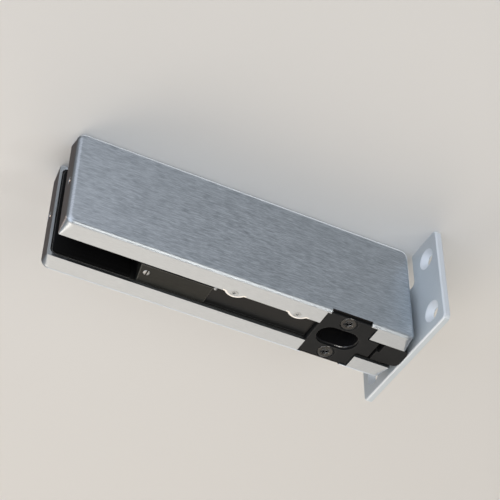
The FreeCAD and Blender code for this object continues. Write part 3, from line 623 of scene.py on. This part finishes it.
off = add(
    tree, "ShaderNodeMath", {"operation": "SUBTRACT", 1: BEARING_PLACE}, {0: spot.outputs["X"]},
)
away = add(tree, "ShaderNodeMath", {"operation": "ABSOLUTE"}, {0: off.outputs["Value"]})
bearing = add(
    tree, "ShaderNodeMapRange", {"From Min": BEARING_REACH, "From Max": BEARING_REACH / 2},
    {"Value": away.outputs["Value"]},
)
burnished = add(
    tree, "ShaderNodeMath", {"operation": "MULTIPLY"},
    {0: lip.outputs["Value"], 1: bearing.outputs["Result"]},
)
tree.links.new(gloss.outputs["Result"], shader.inputs["Roughness"])
tree.links.new(burnished.outputs["Value"], shader.inputs["Coat Weight"])
shader.inputs["Base Color"].default_value = linear("1c1c1d")
shader.inputs["IOR"].default_value = 1.48
shader.inputs["Specular IOR Level"].default_value = 0.25
shader.inputs["Coat IOR"].default_value = 2.3
shader.inputs["Coat Roughness"].default_value = 0.06

LINER_OUTER, LINER_INNER, LINER_LIP, LINER_FLOOR = 0.0072, 0.0057, 0.0007, 0.016
low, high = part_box("socket_liner")
half_gap = high.x - LINER_OUTER


def obround_rim(shape, radius, height):
    """A closed level rim with two round ends and straight sides, about the upright axis."""
    segments = 72
    half_step = Matrix.Rotation(math.pi / segments, 4, "Z")
    made = bmesh.ops.create_circle(
        shape, cap_ends=False, segments=segments, radius=radius, matrix=half_step,
    )["verts"]
    for vert in made:
        vert.co += Vector((math.copysign(half_gap, vert.co.x), 0, height))
    return list({edge for vert in made for edge in vert.link_edges})


liner = bmesh.new()
rims = [
    obround_rim(liner, LINER_OUTER, high.z),
    obround_rim(liner, LINER_OUTER, low.z),
]
for turn in (0, 18, 36, 54, 72, 90):
    inward = LINER_LIP * (1 - math.sin(math.radians(turn)))
    upward = LINER_LIP * (1 - math.cos(math.radians(turn)))
    rims.append(obround_rim(liner, LINER_INNER + inward, low.z + upward))
for turn in (90, 60, 30, 0):
    inward = LINER_LIP * (1 - math.sin(math.radians(turn)))
    upward = LINER_LIP * (1 - math.cos(math.radians(turn)))
    rims.append(obround_rim(liner, LINER_INNER - inward, LINER_FLOOR - upward))
close_over(liner, rims)
make_piece(liner, "socket_cup", acetal, "socket_liner")


# Socket screws: two countersunk hexagon-socket screws that hold the block to the jaws, blackened
# alloy steel, sunk just below the face of the block.

SOCKET_HEAD, SOCKET_SHANK, SOCKET_KEY, SOCKET_KEY_DEPTH = 0.00415, 0.002, 0.00145, 0.0016
low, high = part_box("socket_screws")
tightened = Matrix.Rotation(math.radians(14), 4, "Z")
socket_pair = countersunk_screws(
    SOCKET_HEAD, SOCKET_SHANK, high.z - low.z, SOCKET_KEY, SOCKET_KEY_DEPTH,
    [
        Matrix.Translation((0, depth, low.z)) @ tightened
        for depth in (low.y + SOCKET_HEAD, high.y - SOCKET_HEAD)
    ],
)
make_piece(socket_pair, "block_socket_screws", screw_black, "socket_screws")


# Covers: stainless sheet, bent to a pan with welded and ground corners, slipped over each jaw and
# held by small screws. The front one has two ears. The faces are belt-brushed along the length.

# Hairline brushing leaves scratches along the belt that smear reflections across it, with paler and
# darker dashes. They are 0.05 to 0.2 mm wide on steel and drawn at 0.35 mm, so that they show. The
# narrow walls were brushed before bending and are smoother. The slot rim of the end wall is sanded
# pale and even, the cut edge of the notch is painted dark as shade, and each ear has a painted
# highlight in a band that begins and is full inside its round edge and ends just outside it. A face
# is square on to an axis where its normal along that axis is past SQUARE_ON.
RIM_REACH, END_RIM, NOTCH_FLOOR = 0.0076, -0.1325, 0.0012
SQUARE_ON = 0.9
EAR_LEFT, EAR_RIGHT = -0.0543, -0.0238
EARS_MIDDLE, EARS_APART = (EAR_LEFT + EAR_RIGHT) / 2, (EAR_RIGHT - EAR_LEFT) / 2
EAR_CENTRE, EAR_RADIUS, EAR_CHORD = -0.01035, 0.0062, -0.0074
BAND_BEGINS, BAND_FULL, BAND_ENDS = EAR_RADIUS - 0.0014, EAR_RADIUS - 0.0009, EAR_RADIUS + 0.0003
hairline, tree, shader, place = new_material("hairline_brushed_stainless_steel")
belt = add(
    tree, "ShaderNodeMapping", {"Scale": (repeats(3.5), repeats(0.35), repeats(0.35))},
    {"Vector": place},
)
streaks = add(
    tree, "ShaderNodeTexNoise", {"Scale": 1.0, "Detail": 3.0, "Roughness": 0.6},
    {"Vector": belt.outputs["Vector"]},
)
patches = add(tree, "ShaderNodeTexNoise", {"Scale": repeats(7), "Detail": 3.0}, {"Vector": place})
mottle = add(
    tree, "ShaderNodeMix", {"data_type": "FLOAT", 0: 0.15},
    {2: streaks.outputs["Fac"], 3: patches.outputs["Fac"]},
)
spread = add(
    tree, "ShaderNodeMapRange", {"From Min": 0.33, "From Max": 0.67}, {"Value": mottle.outputs[0]},
)
turned = add(tree, "ShaderNodeNewGeometry", {}, {})
axes = add(tree, "ShaderNodeSeparateXYZ", {}, {"Vector": turned.outputs["Normal"]})
outward = add(tree, "ShaderNodeMath", {"operation": "ABSOLUTE"}, {0: axes.outputs["Y"]})
brushed = add(
    tree, "ShaderNodeMapRange", {"From Min": 0.5, "From Max": 0.95, "To Min": 0.25, "To Max": 1.0},
    {"Value": outward.outputs["Value"]},
)
dashes = add(
    tree, "ShaderNodeMix", {"data_type": "FLOAT", 2: 0.5},
    {0: brushed.outputs["Result"], 3: spread.outputs["Result"]},
)
tone = add(
    tree, "ShaderNodeMix", {"data_type": "RGBA", 6: linear("a4abb1"), 7: linear("cfd5da")},
    {0: dashes.outputs[0]},
)

# the slot rim of the end wall
spot = add(tree, "ShaderNodeSeparateXYZ", {}, {"Vector": place})
at_end = add(
    tree, "ShaderNodeMath", {"operation": "LESS_THAN", 1: END_RIM}, {0: spot.outputs["X"]},
)
inside = add(tree, "ShaderNodeMath", {"operation": "ABSOLUTE"}, {0: spot.outputs["Y"]})
near_slot = add(
    tree, "ShaderNodeMath", {"operation": "LESS_THAN", 1: RIM_REACH}, {0: inside.outputs["Value"]},
)
across = add(
    tree, "ShaderNodeMath", {"operation": "GREATER_THAN", 1: SQUARE_ON},
    {0: outward.outputs["Value"]},
)
slot_rim = add(
    tree, "ShaderNodeMath", {"operation": "MULTIPLY"},
    {0: near_slot.outputs["Value"], 1: across.outputs["Value"]},
)
rim = add(
    tree, "ShaderNodeMath", {"operation": "MULTIPLY"},
    {0: slot_rim.outputs["Value"], 1: at_end.outputs["Value"]},
)
sanded = add(
    tree, "ShaderNodeMix", {"data_type": "RGBA", 7: linear("c4c8c9")},
    {0: rim.outputs["Value"], 6: tone.outputs[2]},
)

# painted shade on the cut edge of the notch, which faces down
above = add(
    tree, "ShaderNodeMath", {"operation": "GREATER_THAN", 1: NOTCH_FLOOR}, {0: spot.outputs["Z"]},
)
downward = add(
    tree, "ShaderNodeMath", {"operation": "LESS_THAN", 1: -SQUARE_ON}, {0: axes.outputs["Z"]},
)
notch_painted_shade = add(
    tree, "ShaderNodeMath", {"operation": "MULTIPLY"},
    {0: above.outputs["Value"], 1: downward.outputs["Value"]},
)
notch_shaded = add(
    tree, "ShaderNodeMix", {"data_type": "RGBA", 7: linear("1c1c1d")},
    {0: notch_painted_shade.outputs["Value"], 6: sanded.outputs[2]},
)

# a painted highlight on the round edge of the ears, by the distance from the nearer ear's centre
along = add(
    tree, "ShaderNodeMath", {"operation": "SUBTRACT", 1: EARS_MIDDLE}, {0: spot.outputs["X"]},
)
either = add(tree, "ShaderNodeMath", {"operation": "ABSOLUTE"}, {0: along.outputs["Value"]})
sideways = add(
    tree, "ShaderNodeMath", {"operation": "SUBTRACT", 1: EARS_APART}, {0: either.outputs["Value"]},
)
outwards = add(
    tree, "ShaderNodeMath", {"operation": "SUBTRACT", 1: EAR_CENTRE}, {0: spot.outputs["Y"]},
)
reach = add(
    tree, "ShaderNodeCombineXYZ", {},
    {"X": sideways.outputs["Value"], "Y": outwards.outputs["Value"]},
)
radius = add(tree, "ShaderNodeVectorMath", {"operation": "LENGTH"}, {0: reach.outputs["Vector"]})
round_edge = add(
    tree, "ShaderNodeMapRange", {"From Min": BAND_BEGINS, "From Max": BAND_FULL},
    {"Value": radius.outputs["Value"]},
)
on_ear = add(
    tree, "ShaderNodeMath", {"operation": "GREATER_THAN", 1: EAR_CHORD}, {0: spot.outputs["Y"]},
)
front = add(tree, "ShaderNodeMath", {"operation": "LESS_THAN", 1: 0.0}, {0: spot.outputs["Y"]})
ear = add(
    tree, "ShaderNodeMath", {"operation": "MULTIPLY"},
    {0: on_ear.outputs["Value"], 1: front.outputs["Value"]},
)
within = add(
    tree, "ShaderNodeMath", {"operation": "LESS_THAN", 1: BAND_ENDS}, {0: radius.outputs["Value"]},
)
band = add(
    tree, "ShaderNodeMath", {"operation": "MULTIPLY"},
    {0: round_edge.outputs["Result"], 1: within.outputs["Value"]},
)
ear_painted_highlight = add(
    tree, "ShaderNodeMath", {"operation": "MULTIPLY"},
    {0: band.outputs["Value"], 1: ear.outputs["Value"]},
)
# the ears' round edge is painted near white as a highlight
ear_highlighted = add(
    tree, "ShaderNodeMix", {"data_type": "RGBA", 7: linear("f6f5f2")},
    {0: ear_painted_highlight.outputs["Value"], 6: notch_shaded.outputs[2]},
)

# the gloss, dull on the sanded rim, and the grooves
polish = add(
    tree, "ShaderNodeMapRange", {"To Min": 0.3, "To Max": 0.44}, {"Value": dashes.outputs[0]},
)
gloss = add(
    tree, "ShaderNodeMix", {"data_type": "FLOAT", 3: 0.8},
    {0: rim.outputs["Value"], 2: polish.outputs["Result"]},
)
grooves = add(
    tree, "ShaderNodeBump", {"Strength": 0.3, "Distance": 0.00002}, {"Height": dashes.outputs[0]},
)
tree.links.new(ear_highlighted.outputs[2], shader.inputs["Base Color"])
tree.links.new(gloss.outputs[0], shader.inputs["Roughness"])
tree.links.new(grooves.outputs["Normal"], shader.inputs["Normal"])
shader.inputs["Metallic"].default_value = 1.0
dress(hairline, "front_cover", "rear_cover")


# Cover screws: small countersunk stainless screws, cold-headed and tumbled. Two sit in the ears of
# the front cover and one, with a crowned and polished head, in the end wall of each cover.

# Tumbled steel is bright with a soft haze. Polished steel is brighter, with only a trace of haze.
finishes = []
for name, colour, smoothest, dullest in (
    ("tumbled_stainless_steel", "c6c7c6", 0.66, 0.82),
    ("polished_stainless_steel", "e6e6e4", 0.14, 0.24),
):
    finish, tree, shader, place = new_material(name)
    haze = add(
        tree, "ShaderNodeTexNoise", {"Scale": repeats(0.5), "Detail": 2.0}, {"Vector": place},
    )
    gloss = add(
        tree, "ShaderNodeMapRange", {"To Min": smoothest, "To Max": dullest},
        {"Value": haze.outputs["Fac"]},
    )
    tree.links.new(gloss.outputs["Result"], shader.inputs["Roughness"])
    shader.inputs["Base Color"].default_value = linear(colour)
    shader.inputs["Metallic"].default_value = 1.0
    finishes.append(finish)
tumbled, polished = finishes

SMALL_HEAD, SMALL_SHANK, SMALL_KEY, SMALL_KEY_DEPTH = 0.0018, 0.001, 0.0007, 0.0007
END_CROWN = 0.00025
low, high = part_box("ear_screws")
ear_pair = countersunk_screws(
    SMALL_HEAD, SMALL_SHANK, high.z - low.z, SMALL_KEY, SMALL_KEY_DEPTH,
    [
        Matrix.Translation((left, (low.y + high.y) / 2, low.z))
        for left in (low.x + SMALL_HEAD, high.x - SMALL_HEAD)
    ],
)
make_piece(ear_pair, "ear_socket_screws", tumbled, "ear_screws")
low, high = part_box("cover_end_screws")
faced_left = Matrix.Rotation(math.radians(90), 4, "Y")
end_pair = countersunk_screws(
    SMALL_HEAD, SMALL_SHANK, high.x - low.x, SMALL_KEY, SMALL_KEY_DEPTH,
    [
        Matrix.Translation((low.x, depth, (low.z + high.z) / 2)) @ faced_left
        for depth in (low.y + SMALL_HEAD, high.y - SMALL_HEAD)
    ],
    crown=END_CROWN,
)
make_piece(end_pair, "end_wall_screws", polished, "cover_end_screws")


# Stage: the photograph has the fitting lying on its glass side, seen from the spindle side, so one
# pale plane lies against its upper rims and another under its lower face. Each shows only its inner
# side, so that views from either side see the fitting on a plain pale floor.

# Paper takes light and shadow near the fitting. Further out, between two distances in metres, it
# gives way to an even tone of its own, so that no lamp leaves a mark on it.
FADE_BEGINS, FADE_ENDS, FAR_GLOW = 0.4, 1.0, 0.72
paper, tree, shader, place = new_material("pale_backdrop_paper")
distance = add(tree, "ShaderNodeVectorMath", {"operation": "LENGTH"}, {0: place})
far = add(
    tree, "ShaderNodeMapRange", {"From Min": FADE_BEGINS, "From Max": FADE_ENDS},
    {"Value": distance.outputs["Value"]},
)
lit = add(
    tree, "ShaderNodeMix", {"data_type": "RGBA", 6: linear("dddddb"), 7: linear("000000")},
    {0: far.outputs["Result"]},
)
glow = add(
    tree, "ShaderNodeMapRange", {"To Min": 0.0, "To Max": FAR_GLOW},
    {"Value": far.outputs["Result"]},
)
side = add(tree, "ShaderNodeNewGeometry", {}, {})
gone = add(tree, "ShaderNodeBsdfTransparent", {}, {})
one_sided = add(
    tree, "ShaderNodeMixShader", {},
    {0: side.outputs["Backfacing"], 1: shader.outputs["BSDF"], 2: gone.outputs["BSDF"]},
)
tree.links.new(lit.outputs[2], shader.inputs["Base Color"])
tree.links.new(glow.outputs["Result"], shader.inputs["Emission Strength"])
tree.links.new(one_sided.outputs["Shader"], tree.nodes["Material Output"].inputs["Surface"])
shader.inputs["Emission Color"].default_value = linear("dddddb")
shader.inputs["Roughness"].default_value = 0.9
shader.inputs["Specular IOR Level"].default_value = 0.0

PLANE_HALF = 3.0


def pale_plane(name, height, upward):
    """A large plane, seen from one side, that takes the fitting's shadow and lights nothing."""
    shape = bmesh.new()
    bmesh.ops.create_grid(shape, x_segments=1, y_segments=1, size=PLANE_HALF)
    bmesh.ops.translate(shape, verts=shape.verts, vec=(0, 0, height))
    if not upward:
        bmesh.ops.reverse_faces(shape, faces=shape.faces)
    mesh = bpy.data.meshes.new(name)
    shape.to_mesh(mesh)
    shape.free()
    mesh.materials.append(paper)
    plane = bpy.data.objects.new(name, mesh)
    scene.collection.objects.link(plane)
    plane.visible_diffuse = False
    plane.visible_glossy = False
    plane.visible_transmission = False
    plane.visible_shadow = False


pale_plane("upper_plane", cad_box[1][2], upward=False)
pale_plane("floor", cad_box[0][2], upward=True)


# Light: a pale room and square soft lamps. The lower walls mirror the ceiling and the corner light,
# which lie below the fitting as it stands. The edge light and the front ones are for the bends and
# the face, the small ones for glints, and the back and upper ones for the other sides.

# The room looks a little brighter, seen or mirrored, than the light it gives.
ROOM_GIVES, ROOM_SHOWS = 0.25, 0.34
world = bpy.data.worlds.new("pale_room")
scene.world = world
world.use_nodes = True
tree = world.node_tree
room = tree.nodes["Background"]
room.inputs["Color"].default_value = linear("e6eaee")
path = add(tree, "ShaderNodeLightPath", {}, {})
seen = add(
    tree, "ShaderNodeMath", {"operation": "MAXIMUM"},
    {0: path.outputs["Is Camera Ray"], 1: path.outputs["Is Glossy Ray"]},
)
shown = add(
    tree, "ShaderNodeMath", {"operation": "MAXIMUM"},
    {0: seen.outputs["Value"], 1: path.outputs["Is Transmission Ray"]},
)
strength = add(
    tree, "ShaderNodeMapRange", {"To Min": ROOM_GIVES, "To Max": ROOM_SHOWS},
    {"Value": shown.outputs["Value"]},
)
tree.links.new(strength.outputs["Result"], room.inputs["Strength"])

FITTING_MIDDLE = Vector((-0.04, 0.0, 0.02))


def softbox(name, place, size, power, colour):
    """A square lamp that faces the middle of the fitting."""
    lamp = bpy.data.lights.new(name, "AREA")
    lamp.size = size
    lamp.energy = power
    lamp.color = linear(colour)[:3]
    lamp_object = bpy.data.objects.new(name, lamp)
    lamp_object.visible_camera = False
    scene.collection.objects.link(lamp_object)
    aim = FITTING_MIDDLE - Vector(place)
    turned = aim.to_track_quat("-Z", "Y").to_matrix().to_4x4()
    lamp_object.matrix_world = Matrix.Translation(place) @ turned


softbox("ceiling", (-0.1, 0.6, -1.1), size=1.8, power=10.6, colour="ffeedb")
softbox("edge_light", (0.2, -0.88, -0.8), size=0.6, power=3.0, colour="fffaf2")
softbox("front_key", (-1.2, -0.75, -0.65), size=1.7, power=11.5, colour="eaf1ff")
softbox("front_wide", (-0.52, -1.07, 0.5), size=1.3, power=5.0, colour="f2f4ff")
softbox("right_front", (0.45, -1.1, 0.45), size=0.8, power=0.4, colour="f0f6ff")
softbox("corner_light", (-0.75, 0.8, -0.85), size=0.8, power=3.2, colour="fff6ea")
softbox("end_light", (-1.1, 0.6, 0.5), size=0.3, power=0.85, colour="ffdcc4")
softbox("back_light", (0.45, 1.25, 0.15), size=1.2, power=5.0, colour="ffffff")
softbox("upper_light", (0.45, 0.45, 1.25), size=1.8, power=12.5, colour="ffffff")
softbox("sparkle", (0.36, -0.36, -1.08), size=0.1, power=0.7, colour="ffffff")


# Dark card: a matt, nearly black board held behind and above the free end, out of sight, so that
# the end walls have something dark to mirror. It throws no shadow.

CARD_HALF, CARD_PLACE = 0.22, Vector((-0.26, 0.26, 0.3))
CARD_FACING = Vector((0.317, -0.655, -0.686))
board = bmesh.new()
bmesh.ops.create_grid(board, x_segments=1, y_segments=1, size=CARD_HALF)
facing = CARD_FACING.to_track_quat("Z", "Y").to_matrix().to_4x4()
bmesh.ops.transform(board, matrix=Matrix.Translation(CARD_PLACE) @ facing, verts=board.verts)
board_mesh = bpy.data.meshes.new("dark_card")
board.to_mesh(board_mesh)
board.free()
card_dark, _, shader, _ = new_material("matt_black_board")
shader.inputs["Base Color"].default_value = linear("2a1a0e")
shader.inputs["Roughness"].default_value = 1.0
board_mesh.materials.append(card_dark)
card = bpy.data.objects.new("dark_card", board_mesh)
scene.collection.objects.link(card)
card.visible_camera = False
card.visible_diffuse = False
card.visible_shadow = False


# Camera: the photograph's view, from below, in front and to the left of the fitting, with a slight
# roll. Place and aim are in metres, and the lens is for a 36 mm sensor and a square picture.

camera = bpy.data.cameras.new("photo_camera")
camera.sensor_width = 36.0
camera.lens = 96.17
camera_place = Vector((-0.23569, -0.39654, -0.37933))
camera_aim = Vector((-0.03934, 0.00959, 0.04600))
camera_roll = math.radians(1.09)
camera_object = bpy.data.objects.new("photo_camera", camera)
scene.collection.objects.link(camera_object)
towards = (camera_aim - camera_place).to_track_quat("-Z", "Y").to_matrix().to_4x4()
aimed = Matrix.Translation(camera_place) @ towards
camera_object.matrix_world = aimed @ Matrix.Rotation(camera_roll, 4, "Z")
scene.camera = camera_object
